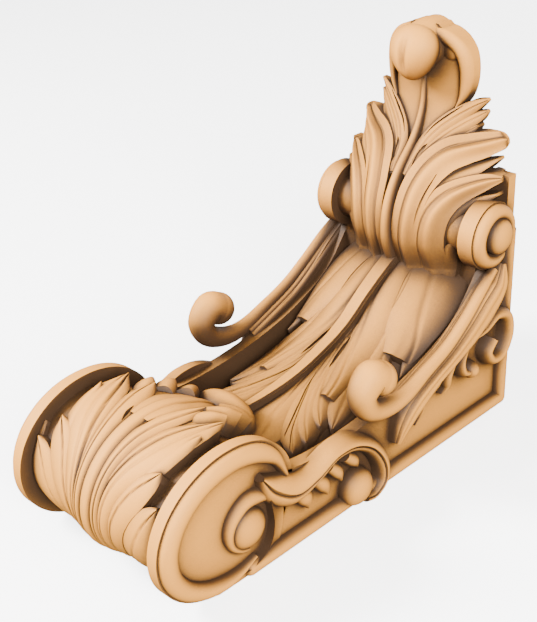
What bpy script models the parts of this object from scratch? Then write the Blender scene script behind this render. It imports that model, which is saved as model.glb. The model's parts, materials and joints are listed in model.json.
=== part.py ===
# Carved wooden corbel: one block with a large and a small volute roll, a concave sweep between them,
# three acanthus leaves and scrollwork on both sides.
# Metres, +Z up. X is the width, the wall face lies at Y = 0 and the bracket reaches out towards -Y.
# The origin is the fixing point on the wall face.

import bmesh
import bpy
from math import cos, hypot, pi, radians, sin, sqrt
from mathutils import Matrix, Vector

# Whole bracket
half_width = 0.0655          # outer faces of the volute discs
panel_half_width = 0.0600    # sunk faces of the side plates
channel_half_width = 0.0520  # inner faces of the side plates, the width of the sweep between them
reach = 0.2464               # wall to the centre of the large volute
seat_height = 0.1242         # base to the centre of the small volute
fixing_height = 0.0800       # base to the fixing point, which is the origin

# Large volute, a leaning ellipse that touches the base
large_long_radius = 0.0485
large_short_radius = 0.0418
large_lean = radians(10.6)
large_disc_thickness = 0.0124
large_core_share = 0.80      # the roll between the discs, as a share of their radius

# Small volute, a circle that touches the wall
small_radius = 0.0212
small_disc_thickness = 0.0122
small_core_radius = 0.0180

# Back plate
plate_height = 0.1580
plate_half_width = 0.0605
plate_thickness = 0.0075

# Bead along the base and the wall edge of each side
bead_radius = 0.0052

# Leaf that stands against the wall
leaf_rise = 0.1192           # small volute centre to the top of the leaf
leaf_half_width = 0.0585     # centre line to the widest tip
leaf_depth = 0.0450          # wall to the front of the leaf where it wraps the small roll
leaf_fall = 0.0250           # how far the leaf falls back from its rib to its widest tip
leaf_edge = 0.0016           # least thickness of the leaf against the wall
leaf_wraps_to = 3.2          # layout height up to which the leaf lies on the small roll
leaf_root = 0.0148           # wall to the root of the leaf where it lies on the small roll
leaf_relief = 0.0095         # height of its boldest frond
leaf_rib_relief = 0.0065     # height of its rib
curl_half_width = 0.0130     # curled tip, across
curl_half_depth = 0.0125     # curled tip, out from the wall
curl_half_height = 0.0172    # curled tip, upwards
curl_stem_radius = 0.0148    # round stem that carries the curled tip from the wall

# Leaf on the sweep
sweep_rib_lift = 0.0110      # ground of the sweep to the top of its rib
sweep_hump = 0.0170          # fall of the ground from the middle of the sweep to its sides
sweep_relief = 0.0085        # height of its boldest lobe

# Leaf on the large roll
roll_relief = 0.0082         # height of its lobes
roll_hump_radius = 0.0085    # three humps along the tongue behind the roll
roll_tip_radius = 0.0170     # curled lobe at the end of the tongue

# Scrolls and balls on the sides
scroll_radius = 0.0052       # long scroll above each side plate
knob_radius = 0.0104         # ball inside its curl
flame_relief = 0.0095        # leaf work below the long scroll
flame_ball_radius = 0.0058   # little ball on its stalk
low_scroll_relief = 0.0085   # scroll that leaves the large volute
low_ball_radius = 0.0128     # ball at its end
large_eye_radius = 0.0122    # eye of the large volute
small_eye_radius = 0.0115    # eye of the small volute

# Rough block and facets
voxel = 0.0012               # grain of the fused surface
triangle_budget = 9400       # facets of the finished solid
root_depth = 0.0025          # how far a carved piece runs into what carries it
trim_margin = 0.0040         # how far the rough block runs past the flat faces

# The free carving is drawn on a layout grid: x across, y out from the wall, z up from the base.
# The grid is stretched so that these three layout lengths take their real sizes.
layout_half_width = 1.457    # stands for half_width
layout_reach = 5.476         # stands for reach
layout_seat = 2.76           # stands for seat_height
layout_channel = 1.15        # stands for channel_half_width
layout_roll_half = 1.18      # stands for the inner faces of the large discs
layout_leaf_half = 1.30      # stands for leaf_half_width
layout_leaf_rise = 2.65      # stands for leaf_rise
layout_leaf_depth = 1.00     # stands for leaf_depth
layout_large = (1.077, 0.9285)   # stands for the two radii of the large volute
layout_large_centre = (5.476, 0.954)
layout_small = 0.47          # stands for small_radius

large_centre_height = hypot(large_long_radius * sin(large_lean), large_short_radius * cos(large_lean))
roll_half_width = half_width - large_disc_thickness


# A smooth curve through the points, at share t of its length
def along(points, t):
    spans = len(points) - 1
    index = min(int(t * spans), spans - 1)
    f = t * spans - index
    before = points[max(index - 1, 0)]
    after = points[min(index + 2, spans)]
    return [
        0.5 * (2 * b + (c - a) * f + (2 * a - 5 * b + 4 * c - d) * f * f + (3 * b - a - 3 * c + d) * f ** 3)
        for a, b, c, d in zip(before, points[index], points[index + 1], after)
    ]


# A plain number that varies smoothly along a piece
def varying(values, t):
    return along([(value,) for value in values], t)[0]


# Layout point to metres
def place(x, y, z):
    return Vector((
        x * half_width / layout_half_width,
        -y * reach / layout_reach,
        z * seat_height / layout_seat,
    ))


# Outlines of the sweep and of the wall leaf, seen from the side, at even steps
sweep_step = 0.5
sweep_profile = [
    (0.0, 2.50), (0.5, 2.42), (1.0, 2.25), (1.5, 1.96), (2.0, 1.61), (2.5, 1.408),
    (3.0, 1.288), (3.5, 1.254), (4.0, 1.285), (4.5, 1.40), (5.0, 1.45),
]
side_profile = [
    (0.0, 2.70), (0.3, 2.55), (0.55, 2.22), (0.90, 1.80), (1.25, 1.55), (1.77, 1.33), (2.31, 1.18),
    (2.91, 1.08), (3.46, 1.04), (3.97, 1.04), (4.40, 1.10), (4.80, 1.20),
]
leaf_foot = 2.2
leaf_step = 0.4
leaf_profile = [0.86, 0.98, 0.95, 0.76, 0.45, 0.28, 0.25, 0.25, 0.25]


# Surfaces that carry the carving: each gives the point at height h and the point it is rooted at
def on_side(y, z, h):
    top = place(0, y, z)
    return (
        Vector((panel_half_width + h, top.y, top.z)),
        Vector((panel_half_width - root_depth, top.y, top.z)),
    )


def on_sweep(y, x, h):
    t = y / sweep_step / (len(sweep_profile) - 1)
    near = place(0, *along(sweep_profile, max(t - 0.01, 0)))
    far = place(0, *along(sweep_profile, min(t + 0.01, 1)))
    run = (far - near).normalized()
    outward = Vector((0, run.z, -run.y))
    middle = place(0, *along(sweep_profile, t))
    middle.x = x * channel_half_width / layout_channel
    ground = -sweep_rib_lift - sweep_hump * (x / layout_channel) ** 2
    return middle + outward * (ground + h), middle + outward * (ground - root_depth)


def large_radius_at(angle):
    direction = angle + large_lean
    return 1 / hypot(cos(direction) / large_long_radius, sin(direction) / large_short_radius)


def on_roll(degrees, x, h):
    angle = radians(degrees)
    outward = Vector((0, -cos(angle), sin(angle)))
    centre = Vector((x * roll_half_width / layout_roll_half, -reach, large_centre_height))
    core = large_radius_at(angle) * large_core_share
    return centre + outward * (core + h), centre + outward * (core - root_depth)


def leaf_height(z):
    return seat_height + (z - layout_seat) * leaf_rise / layout_leaf_rise


def on_wall(z, x, h):
    t = (z - leaf_foot) / leaf_step / (len(leaf_profile) - 1)
    depth = leaf_depth / layout_leaf_depth
    rise = leaf_rise / layout_leaf_rise
    slope = (varying(leaf_profile, min(t + 0.01, 1)) - varying(leaf_profile, max(t - 0.01, 0))) / 0.02
    run = Vector((0, -slope * depth, leaf_step * (len(leaf_profile) - 1) * rise)).normalized()
    outward = Vector((0, -run.z, run.y))
    across = x * leaf_half_width / layout_leaf_half
    front = -varying(leaf_profile, min(max(t, 0), 1)) * depth + leaf_fall * (x / layout_leaf_half) ** 2
    top = Vector((across, front, leaf_height(z))) + outward * h
    top.y = min(top.y, -leaf_edge)
    back = trim_margin if z > leaf_wraps_to else -leaf_root
    return top, Vector((top.x, back, top.z))


# Cross-sections, from edge to edge as s runs from -1 to 1
def half_round(s):
    return sqrt(max(1 - s * s, 0))


def domed(s):
    return 0.60 + 0.40 * (1 - s * s)


def fluted(s):
    return 0.72 + 0.28 * cos(2 * pi * s) * (1 - 0.4 * abs(s))


def cove(s):
    return 0.12 + 0.88 * ((s + 1) / 2) ** 2


def rounded(s):
    return 0.35 + 0.65 * half_round(s)


# A carved strip on one of those surfaces, closed all round
def carve(bm, surface, path, widths, heights, section=domed, steps=22, strips=8):
    grid = bmesh.ops.create_grid(bm, x_segments=steps, y_segments=strips, size=1.0)["verts"]
    faces = list({face for vert in grid for face in vert.link_faces})
    raised = bmesh.ops.extrude_face_region(bm, geom=faces)["geom"]
    tops = {item for item in raised if isinstance(item, bmesh.types.BMVert)}
    for vert in list(tops) + grid:
        t = (vert.co.x + 1) / 2
        s = sin(vert.co.y * pi / 2)
        u, v = along(path, t)
        ahead = along(path, min(t + 0.01, 1))
        behind = along(path, max(t - 0.01, 0))
        across = spread(surface, ahead, behind)
        width = max(varying(widths, t), 0.004)
        height = max(varying(heights, t), 0.0002)
        top, root = surface(u + across[0] * width * s, v + across[1] * width * s, height * section(s))
        vert.co = top if vert in tops else root


# Direction across a path, as a step of one layout unit on its surface
def spread(surface, ahead, behind):
    du = ahead[0] - behind[0]
    dv = ahead[1] - behind[1]
    turn = 180 / pi if surface is on_roll else 1
    length = hypot(du / turn, dv) or 1
    return -dv / length * turn, du / turn / length


# A round bar that follows points in metres
def bar(bm, points, radii, sides=12, steps=40):
    face = bmesh.ops.create_circle(bm, cap_ends=True, segments=sides, radius=1)["verts"][0].link_faces[0]
    for step in range(steps + 1):
        t = step / steps
        if step:
            made = bmesh.ops.extrude_face_region(bm, geom=[face])["geom"]
            face = next(item for item in made if isinstance(item, bmesh.types.BMFace))
        centre = Vector(along(points, t))
        run = Vector(along(points, min(t + 0.01, 1))) - Vector(along(points, max(t - 0.01, 0)))
        up = run.normalized().cross(Vector((1, 0, 0))).normalized()
        side = up.cross(run).normalized()
        for number, vert in enumerate(face.verts):
            turn = 2 * pi * number / sides
            vert.co = centre + (side * cos(turn) + up * sin(turn)) * varying(radii, t)


# A ball or a flattened button, its three half-sizes in metres
def button(bm, centre, halves):
    shape = Matrix.Translation(centre) @ Matrix.Diagonal((*halves, 1))
    bmesh.ops.create_uvsphere(bm, u_segments=20, v_segments=12, radius=1, matrix=shape)


# A drum across the width, between two distances from the middle
def drum(bm, centre_y, centre_z, radius_y, radius_z, lean, inner, outer):
    turn = Matrix.Rotation(lean, 4, "X")
    shape = (
        Matrix.Translation(((inner + outer) / 2, centre_y, centre_z))
        @ turn
        @ Matrix.Diagonal((1, radius_y, radius_z, 1))
        @ Matrix.Rotation(pi / 2, 4, "Y")
    )
    bmesh.ops.create_cone(
        bm, cap_ends=True, segments=72, radius1=1, radius2=1, depth=outer - inner, matrix=shape
    )


# A block under a surface, down to the rough underside
def block(bm, surface, start, end, left, right, steps=40, strips=10):
    grid = bmesh.ops.create_grid(bm, x_segments=steps, y_segments=strips, size=1.0)["verts"]
    faces = list({face for vert in grid for face in vert.link_faces})
    raised = bmesh.ops.extrude_face_region(bm, geom=faces)["geom"]
    tops = {item for item in raised if isinstance(item, bmesh.types.BMVert)}
    for vert in list(tops) + grid:
        u = start + (end - start) * (vert.co.x + 1) / 2
        v = left + (right - left) * (vert.co.y + 1) / 2
        top = surface(u, v, 0)[0]
        vert.co = top if vert in tops else Vector((top.x, top.y, -trim_margin))


def on_side_edge(t, x, h):
    top = place(0, *along(side_profile, t))
    top.x = x
    return top, top


# The same layout points, tied to the large or to the small volute
def on_large(y, z, h):
    point = Vector((
        panel_half_width + h,
        -reach - (y - layout_large_centre[0]) * large_long_radius / layout_large[0],
        large_centre_height + (z - layout_large_centre[1]) * large_short_radius / layout_large[1],
    ))
    return point, Vector((panel_half_width - root_depth, point.y, point.z))


def on_small(y, z, h):
    scale = small_radius / layout_small
    point = Vector((panel_half_width + h, -y * scale, seat_height + (z - layout_seat) * scale))
    return point, Vector((panel_half_width - root_depth, point.y, point.z))


# Points round the large volute, a step inside its edge, from one angle to another
def round_large(start, end, inset, count=14):
    points = []
    for number in range(count + 1):
        angle = radians(start + (end - start) * number / count)
        direction = angle + large_lean
        radius = 1 / hypot(cos(direction) / layout_large[0], sin(direction) / layout_large[1]) - inset
        points.append((layout_large_centre[0] + radius * cos(angle), layout_large_centre[1] + radius * sin(angle)))
    return points


def round_small(start, end, radius, count=10):
    points = []
    for number in range(count + 1):
        angle = radians(start + (end - start) * number / count)
        points.append((layout_small + radius * cos(angle), layout_seat + radius * sin(angle)))
    return points


# Plate, side plates, sweep and both rolls
def build_body(bm):
    overlap = 0.004
    block(bm, on_sweep, 0.0, 5.0, -0.12, layout_channel + 0.05)
    block(bm, on_side_edge, 0.0, 1.0, channel_half_width, panel_half_width, strips=1)
    width = plate_half_width + overlap
    shape = Matrix.Translation((
        width / 2 - overlap, (trim_margin - plate_thickness) / 2, (plate_height - trim_margin) / 2
    )) @ Matrix.Diagonal((width, plate_thickness + trim_margin, plate_height + trim_margin, 1))
    bmesh.ops.create_cube(bm, size=1, matrix=shape)
    drum(bm, -reach, large_centre_height, large_long_radius * large_core_share,
         large_short_radius * large_core_share, large_lean, -overlap, roll_half_width + overlap)
    drum(bm, -small_radius, seat_height, small_core_radius, small_core_radius, 0,
         -overlap, half_width - small_disc_thickness + overlap)
    depth = small_radius + overlap
    backing = Matrix.Translation((
        channel_half_width / 2 - overlap / 2, (overlap - depth) / 2, seat_height / 2
    )) @ Matrix.Diagonal((channel_half_width + overlap, depth + overlap, seat_height, 1))
    bmesh.ops.create_cube(bm, size=1, matrix=backing)
    top = leaf_height(leaf_wraps_to) + overlap
    width = leaf_half_width * 0.72 + overlap
    packing = Matrix.Translation((
        width / 2 - overlap, -leaf_root / 2, (seat_height + top) / 2
    )) @ Matrix.Diagonal((width, leaf_root + overlap, top - seat_height, 1))
    bmesh.ops.create_cube(bm, size=1, matrix=packing)


# Discs at the ends of the rolls, with their rings, spirals and eyes
def build_volutes(bm):
    ring = half_width - panel_half_width
    drum(bm, -reach, large_centre_height, large_long_radius, large_short_radius, large_lean,
         roll_half_width, panel_half_width)
    outer_ring = round_large(-118, 168, 0.165)
    carve(bm, on_large, outer_ring, [0.04, 0.10, 0.15, 0.165, 0.165, 0.165, 0.165, 0.15, 0.05],
          [ring * 0.6] + [ring] * 7 + [ring * 0.7], half_round, steps=60)
    hollow_edge = [
        (4.78, 1.02), (4.72, 0.62), (4.82, 0.28), (5.12, 0.10), (5.45, 0.07), (5.78, 0.14), (6.02, 0.30),
        (6.14, 0.48),
    ]
    carve(bm, on_large, hollow_edge, [0.12, 0.13, 0.13, 0.10, 0.09, 0.08, 0.07, 0.02],
          [ring, ring, ring, ring * 0.9, ring * 0.7, ring * 0.5, ring * 0.2, ring * 0.1], cove, steps=36)
    inner_ring = [
        (4.80, 0.98), (4.98, 1.07), (5.22, 1.09), (5.42, 0.97), (5.50, 0.80), (5.46, 0.60), (5.33, 0.46),
        (5.19, 0.40),
    ]
    carve(bm, on_large, inner_ring, [0.08, 0.11, 0.115, 0.10, 0.085, 0.06, 0.045, 0.03],
          [ring * 0.8] * 4 + [ring * 0.7, ring * 0.5, ring * 0.4, ring * 0.3], half_round, steps=36)
    button(bm, on_large(5.183, 0.703, 0.0)[0], (ring * 1.1, large_eye_radius, large_eye_radius))
    drum(bm, -small_radius, seat_height, small_radius, small_radius, 0,
         half_width - small_disc_thickness, panel_half_width)
    carve(bm, on_small, round_small(190, -120, 0.355) + [(0.28, 2.36)],
          [0.10, 0.115, 0.12, 0.12, 0.12, 0.12, 0.11, 0.03], [ring] * 7 + [ring * 0.5], half_round, steps=40)
    button(bm, on_small(0.40, 2.75, ring * 0.35)[0], (ring * 1.3, small_eye_radius, small_eye_radius))


# Bead along the base and up the wall edge
def build_bead(bm):
    x = panel_half_width + bead_radius * 0.15
    base = [(x, -bead_radius, bead_radius), (x, -reach / 2, bead_radius), (x, -reach, bead_radius)]
    wall = [(x, -bead_radius, 0.0), (x, -bead_radius, seat_height / 2), (x, -bead_radius, seat_height)]
    for line in (base, wall):
        bar(bm, line, [bead_radius] * 3)


# Long scroll above each side plate, curling into a knob
def build_long_scroll(bm):
    route = [
        (1.40, 0.50, 2.30), (1.42, 0.80, 2.09), (1.44, 1.15, 1.83), (1.45, 1.55, 1.58), (1.45, 2.00, 1.40),
        (1.45, 2.45, 1.24), (1.44, 2.82, 1.24), (1.44, 3.15, 1.38), (1.44, 3.26, 1.62), (1.44, 3.10, 1.79),
        (1.44, 2.94, 1.72),
    ]
    thickening = [0.87, 1.0, 1.0, 1.0, 1.0, 1.08, 1.21, 1.40, 1.63, 1.88, 1.92]
    bar(bm, [place(*point) for point in route], [scroll_radius * share for share in thickening], steps=60)
    button(bm, place(*route[-1]), (knob_radius, knob_radius, knob_radius))
    seat = []
    for x, y, z in route[:6]:
        point = place(x, y, z)
        point.x = panel_half_width + scroll_radius * 0.35
        point.z -= scroll_radius * 0.85
        seat.append(point)
    bar(bm, seat, [scroll_radius * 0.95] * len(seat), steps=30)


# Leaf work below the long scroll
def build_flames(bm):
    high = flame_relief
    garland = [
        (0.34, 2.34), (0.42, 2.02), (0.68, 1.74), (1.00, 1.52), (1.40, 1.34), (1.80, 1.20), (2.20, 1.03),
        (2.42, 0.82), (2.55, 0.56),
    ]
    carve(bm, on_side, garland, [0.05, 0.20, 0.23, 0.17, 0.12, 0.11, 0.17, 0.14, 0.03],
          [high * 0.8] + [high] * 6 + [high * 0.9, high * 0.6], steps=50)
    spiral = [
        (1.00, 1.50), (0.74, 1.52), (0.46, 1.62), (0.16, 1.50), (0.08, 1.22), (0.24, 0.96), (0.48, 0.93),
        (0.62, 1.10), (0.50, 1.26),
    ]
    carve(bm, on_side, spiral, [0.06, 0.09, 0.10, 0.11, 0.115, 0.11, 0.10, 0.10, 0.10], [high] * 9,
          half_round, steps=50)
    stalk = [(1.10, 1.48), (1.22, 1.22), (1.16, 1.02), (0.98, 0.96)]
    carve(bm, on_side, stalk, [0.08, 0.09, 0.08, 0.07], [high * 0.9] * 4, half_round, steps=20)
    tongues = (
        ([(1.40, 1.36), (1.52, 1.15), (1.50, 0.95), (1.58, 0.84)], [0.08, 0.10, 0.07, 0.02], [0.9, 0.9, 0.7, 0.4]),
        ([(1.62, 1.26), (1.72, 1.08), (1.76, 0.94)], [0.06, 0.06, 0.02], [0.8, 0.7, 0.4]),
        ([(2.05, 1.10), (2.02, 0.82), (2.12, 0.60)], [0.08, 0.06, 0.01], [0.8, 0.6, 0.3]),
    )
    for path, widths, shares in tongues:
        carve(bm, on_side, path, widths, [high * share for share in shares], steps=20)
    button(bm, on_side(0.98, 0.98, high * 0.3)[0], (high * 0.8, flame_ball_radius, flame_ball_radius))


# Low scroll that leaves the large volute as a fish tail and ends in a ball on the bead
def build_low_scroll(bm):
    high = low_scroll_relief
    route = [
        (5.00, 1.30), (4.80, 1.06), (4.48, 0.86), (4.12, 0.90), (3.78, 1.02), (3.42, 0.99), (3.08, 0.78),
        (2.86, 0.46), (2.84, 0.18), (3.02, 0.04), (3.20, 0.06),
    ]
    carve(bm, on_side, route, [0.05, 0.22, 0.26, 0.17, 0.13, 0.13, 0.13, 0.14, 0.13, 0.11, 0.09],
          [high * 0.7, high * 0.9] + [high] * 9, half_round, steps=64)
    teeth = (
        ((4.40, 0.80), (4.26, 0.62), (4.20, 0.44), 0.11), ((4.10, 0.82), (3.94, 0.64), (3.86, 0.46), 0.10),
        ((3.86, 0.88), (3.69, 0.70), (3.60, 0.52), 0.09), ((3.56, 0.88), (3.39, 0.72), (3.30, 0.56), 0.09),
    )
    for root, middle, tip, width in teeth:
        carve(bm, on_side, [root, middle, tip], [width, width, 0.02],
              [high * 0.8, high * 0.75, high * 0.4], steps=14)
    button(bm, on_side(3.34, 0.30, high * 0.2)[0], (high * 1.1, low_ball_radius, low_ball_radius))


# Leaf on the sweep: one side and the rib
def build_sweep_leaf(bm):
    lift = sweep_rib_lift
    high = sweep_relief
    rib = [(0.7, 0.0), (1.6, 0.0), (2.5, 0.0), (3.3, 0.0), (4.1, 0.0)]
    carve(bm, on_sweep, rib, [0.13, 0.11, 0.09, 0.07, 0.05], [lift, lift, lift, lift, lift * 0.85], steps=40)
    lobes = (
        ([(0.7, 0.62), (1.1, 0.66), (1.5, 0.76), (1.88, 0.97)], [0.30, 0.28, 0.22, 0.03],
         [0.88, 0.94, 0.88, 0.70], fluted),
        ([(0.7, 0.22), (1.4, 0.28), (2.0, 0.42), (2.6, 0.64), (3.12, 0.95)], [0.14, 0.18, 0.24, 0.25, 0.03],
         [1.0, 1.0, 1.0, 0.94, 0.70], fluted),
        ([(1.7, 0.12), (2.5, 0.26), (3.0, 0.48), (3.32, 0.74)], [0.08, 0.13, 0.14, 0.08],
         [0.94, 0.88, 0.82, 0.70], domed),
        ([(2.0, 0.10), (2.8, 0.28), (3.3, 0.54), (3.70, 0.86)], [0.08, 0.12, 0.13, 0.07],
         [0.94, 0.82, 0.76, 0.65], domed),
        ([(2.2, 0.08), (3.0, 0.24), (3.5, 0.48), (3.94, 0.82)], [0.08, 0.11, 0.12, 0.06],
         [0.94, 0.82, 0.70, 0.59], domed),
        ([(2.4, 0.06), (3.2, 0.18), (3.7, 0.38), (4.05, 0.62)], [0.08, 0.12, 0.13, 0.07],
         [0.94, 0.82, 0.70, 0.59], domed),
        ([(2.6, 0.04), (3.3, 0.10), (3.8, 0.20), (4.15, 0.34)], [0.06, 0.10, 0.14, 0.10],
         [0.94, 0.82, 0.76, 0.65], domed),
    )
    for path, widths, shares, section in lobes:
        carve(bm, on_sweep, path, widths, [high * share for share in shares], section, steps=32)


# Leaf wrapped over the large roll: one side, its rib and the tongue that runs down behind
def build_roll_leaf(bm):
    full = roll_relief
    carve(bm, on_roll, [(-62, 0.0), (-20, 0.0), (40, 0.0), (90, 0.0), (128, 0.0), (150, 0.0), (164, 0.0)],
          [0.10, 0.10, 0.11, 0.12, 0.12, 0.10, 0.08],
          [full * 0.7, full, full * 1.1, full * 1.1, full * 1.25, full * 1.85, full * 2.4], rounded, steps=60)
    carve(bm, on_roll, [(84, 0.0), (112, 0.0), (130, 0.0), (148, 0.0), (160, 0.0), (168, 0.0)],
          [0.40, 0.62, 0.56, 0.46, 0.36, 0.20], [full * 0.9, full * 0.95, full * 1.1, full * 1.6, full * 2.1, full * 2.4],
          domed, steps=40, strips=12)
    lobes = (
        ([(-60, 0.14), (0, 0.18), (50, 0.24), (95, 0.34), (126, 0.44)], [0.10, 0.12, 0.15, 0.17, 0.05],
         [full * 0.6, full * 0.9, full, full, full * 1.1]),
        ([(-58, 0.24), (5, 0.38), (50, 0.50), (90, 0.64), (119, 0.82)], [0.10, 0.15, 0.20, 0.21, 0.02],
         [full * 0.6, full * 0.85, full, full, full]),
        ([(20, 0.52), (60, 0.70), (93, 0.92)], [0.12, 0.17, 0.02], [full * 0.8, full * 0.95, full * 0.95]),
        ([(-54, 0.34), (-5, 0.50), (26, 0.66), (53, 0.92)], [0.10, 0.18, 0.24, 0.03],
         [full * 0.6, full * 0.8, full, full * 0.9]),
        ([(-50, 0.54), (-20, 0.68), (8, 0.86), (32, 1.08)], [0.12, 0.22, 0.22, 0.02],
         [full * 0.6, full * 0.8, full * 0.9, full * 0.8]),
    )
    for path, widths, heights in lobes:
        carve(bm, on_roll, path, widths, heights, rounded, steps=36)
    size = roll_hump_radius
    for y, z, x in ((5.06, 1.66, 0.58), (4.68, 1.50, 0.50), (4.30, 1.28, 0.36)):
        centre = place(0, y, z)
        centre.x = x * roll_half_width / layout_roll_half
        button(bm, centre, (size, size * 1.1, size))
    button(bm, place(0, 4.22, 1.18), (roll_tip_radius, roll_tip_radius * 0.95, roll_tip_radius))


# Leaf against the wall: one side, the rib, the broad top and its curled tip
def build_wall_leaf(bm):
    high = leaf_relief
    rib = leaf_rib_relief
    middle = [(2.2, 0.0), (2.9, 0.0), (3.5, 0.0), (4.1, 0.0), (4.7, 0.0)]
    carve(bm, on_wall, middle, [0.14, 0.11, 0.08, 0.06, 0.04],
          [rib * 0.95, rib, rib * 0.95, rib * 0.70, rib * 0.15], rounded, steps=50)
    carve(bm, on_wall, [(3.5, 0.0), (4.0, 0.0), (4.4, 0.0), (4.7, 0.0), (5.0, 0.0), (5.22, 0.0), (5.38, 0.0)],
          [0.16, 0.26, 0.56, 0.68, 0.64, 0.50, 0.38],
          [high * share for share in (0.10, 0.13, 0.16, 0.21, 0.26, 0.26, 0.21)], domed, steps=40, strips=16)
    carve(bm, on_wall, [(1.90, 0.55), (2.20, 0.55), (2.60, 0.55)], [0.62, 0.62, 0.62], [high * 0.05] * 3, steps=12)
    lobes = (
        ([(4.42, 0.50), (4.70, 0.57), (5.00, 0.53), (5.20, 0.40)], [0.10, 0.12, 0.13, 0.12],
         [0.63, 0.84, 0.84, 0.74], rounded),
        ([(2.2, 0.63), (2.7, 0.62), (3.1, 0.76), (3.32, 1.00), (3.44, 1.26)], [0.29, 0.25, 0.21, 0.14, 0.02],
         [0.42, 0.58, 0.74, 0.68, 0.32], rounded),
        ([(2.2, 0.26), (2.9, 0.28), (3.35, 0.40), (3.66, 0.66), (3.84, 0.95), (3.90, 1.15)],
         [0.15, 0.17, 0.19, 0.20, 0.17, 0.07], [0.47, 0.68, 0.95, 1.0, 0.90, 0.53], rounded),
        ([(3.2, 0.50), (3.50, 0.84), (3.68, 1.13)], [0.08, 0.10, 0.02], [0.21, 0.26, 0.21], domed),
        ([(3.4, 0.16), (3.9, 0.26), (4.22, 0.50), (4.45, 0.86)], [0.08, 0.09, 0.10, 0.05],
         [0.32, 0.42, 0.47, 0.32], domed),
        ([(3.35, 0.14), (3.82, 0.28), (4.08, 0.54), (4.26, 0.85)], [0.08, 0.09, 0.10, 0.04],
         [0.32, 0.32, 0.32, 0.26], domed),
        ([(3.3, 0.14), (3.72, 0.30), (3.94, 0.54), (4.08, 0.78)], [0.08, 0.09, 0.10, 0.04],
         [0.32, 0.32, 0.26, 0.21], domed),
    )
    for path, widths, shares, section in lobes:
        carve(bm, on_wall, path, widths, [high * share for share in shares], section, steps=36)
    depth = leaf_depth / layout_leaf_depth
    top = leaf_height(5.02)
    button(bm, (0, -0.52 * depth, top), (curl_half_width, curl_half_depth, curl_half_height))
    stem = [(0, trim_margin, 0.20), (0, -0.25 * depth, 0.24), (0, -0.52 * depth, 0.20)]
    bar(bm, [(x, y, top + lift * curl_stem_radius) for x, y, lift in stem],
        [curl_stem_radius, curl_stem_radius, curl_stem_radius * 0.82], sides=20, steps=12)


def wood_material():
    material = bpy.data.materials.new("PaleCarvedWood")
    material.use_nodes = True
    shader = material.node_tree.nodes["Principled BSDF"]
    shader.inputs["Base Color"].default_value = (0.60, 0.36, 0.18, 1)
    shader.inputs["Roughness"].default_value = 0.6
    shader.inputs["Metallic"].default_value = 0.0
    return material


def add_object(name, bm, collection):
    bmesh.ops.recalc_face_normals(bm, faces=bm.faces)
    mesh = bpy.data.meshes.new(name)
    bm.to_mesh(mesh)
    bm.free()
    obj = bpy.data.objects.new(name, mesh)
    collection.objects.link(obj)
    obj.location.z = -fixing_height
    return obj


# Mirrors the carved side and fuses everything into one skin. Returns its number of triangles.
def fuse(corbel):
    mirror = corbel.modifiers.new("Mirror", "MIRROR")
    mirror.use_mirror_merge = False
    remesh = corbel.modifiers.new("Fuse", "REMESH")
    remesh.mode = "VOXEL"
    remesh.voxel_size = voxel
    graph = bpy.context.evaluated_depsgraph_get()
    skin = bpy.data.meshes.new_from_object(corbel.evaluated_get(graph))
    corbel.modifiers.clear()
    bm = bmesh.new()
    bm.from_mesh(skin)
    shells = connected(bm)
    outer = max(shells, key=len)
    hidden = [vert for shell in shells if shell is not outer for vert in shell]
    bmesh.ops.delete(bm, geom=hidden, context="VERTS")
    triangles = 2 * len(bm.faces)
    bm.to_mesh(skin)
    bm.free()
    skin.shade_smooth()
    corbel.data = skin
    return triangles


# Groups of vertices joined by edges
def connected(bm):
    groups = []
    seen = set()
    for first in bm.verts:
        if first in seen:
            continue
        seen.add(first)
        group = [first]
        for vert in group:
            for edge in vert.link_edges:
                other = edge.other_vert(vert)
                if other not in seen:
                    seen.add(other)
                    group.append(other)
        groups.append(group)
    return groups


# The flat wall face and the flat base cut the rough block to size
def build_envelope(collection):
    overall = 2 * (reach + large_long_radius)
    bm = bmesh.new()
    bmesh.ops.create_cube(bm, size=overall, matrix=Matrix.Translation((0, -overall / 2, overall / 2)))
    envelope = add_object("envelope", bm, collection)
    envelope.hide_render = True
    envelope.display_type = "WIRE"
    return envelope


def new_collection(name):
    collection = bpy.data.collections.new(name)
    bpy.context.scene.collection.children.link(collection)
    return collection


def main():
    for obj in list(bpy.data.objects):
        bpy.data.objects.remove(obj, do_unlink=True)
    parts = new_collection("WoodenCorbel")
    cutters = new_collection("Cutters")

    bm = bmesh.new()
    for build in (build_body, build_volutes, build_bead, build_long_scroll, build_flames, build_low_scroll,
                  build_sweep_leaf, build_roll_leaf, build_wall_leaf):
        build(bm)
    corbel = add_object("corbel", bm, parts)
    fused = fuse(corbel)
    corbel.data.materials.append(wood_material())
    thin = corbel.modifiers.new("Thin", "DECIMATE")
    thin.ratio = triangle_budget / fused
    cut = corbel.modifiers.new("Cut flat", "BOOLEAN")
    cut.operation = "INTERSECT"
    cut.solver = "MANIFOLD"
    cut.object = build_envelope(cutters)


main()
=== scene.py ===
import json
from math import cos, exp, hypot, pi, radians, sin, sqrt

import bmesh
import bpy
from mathutils import Matrix, Vector

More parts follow.
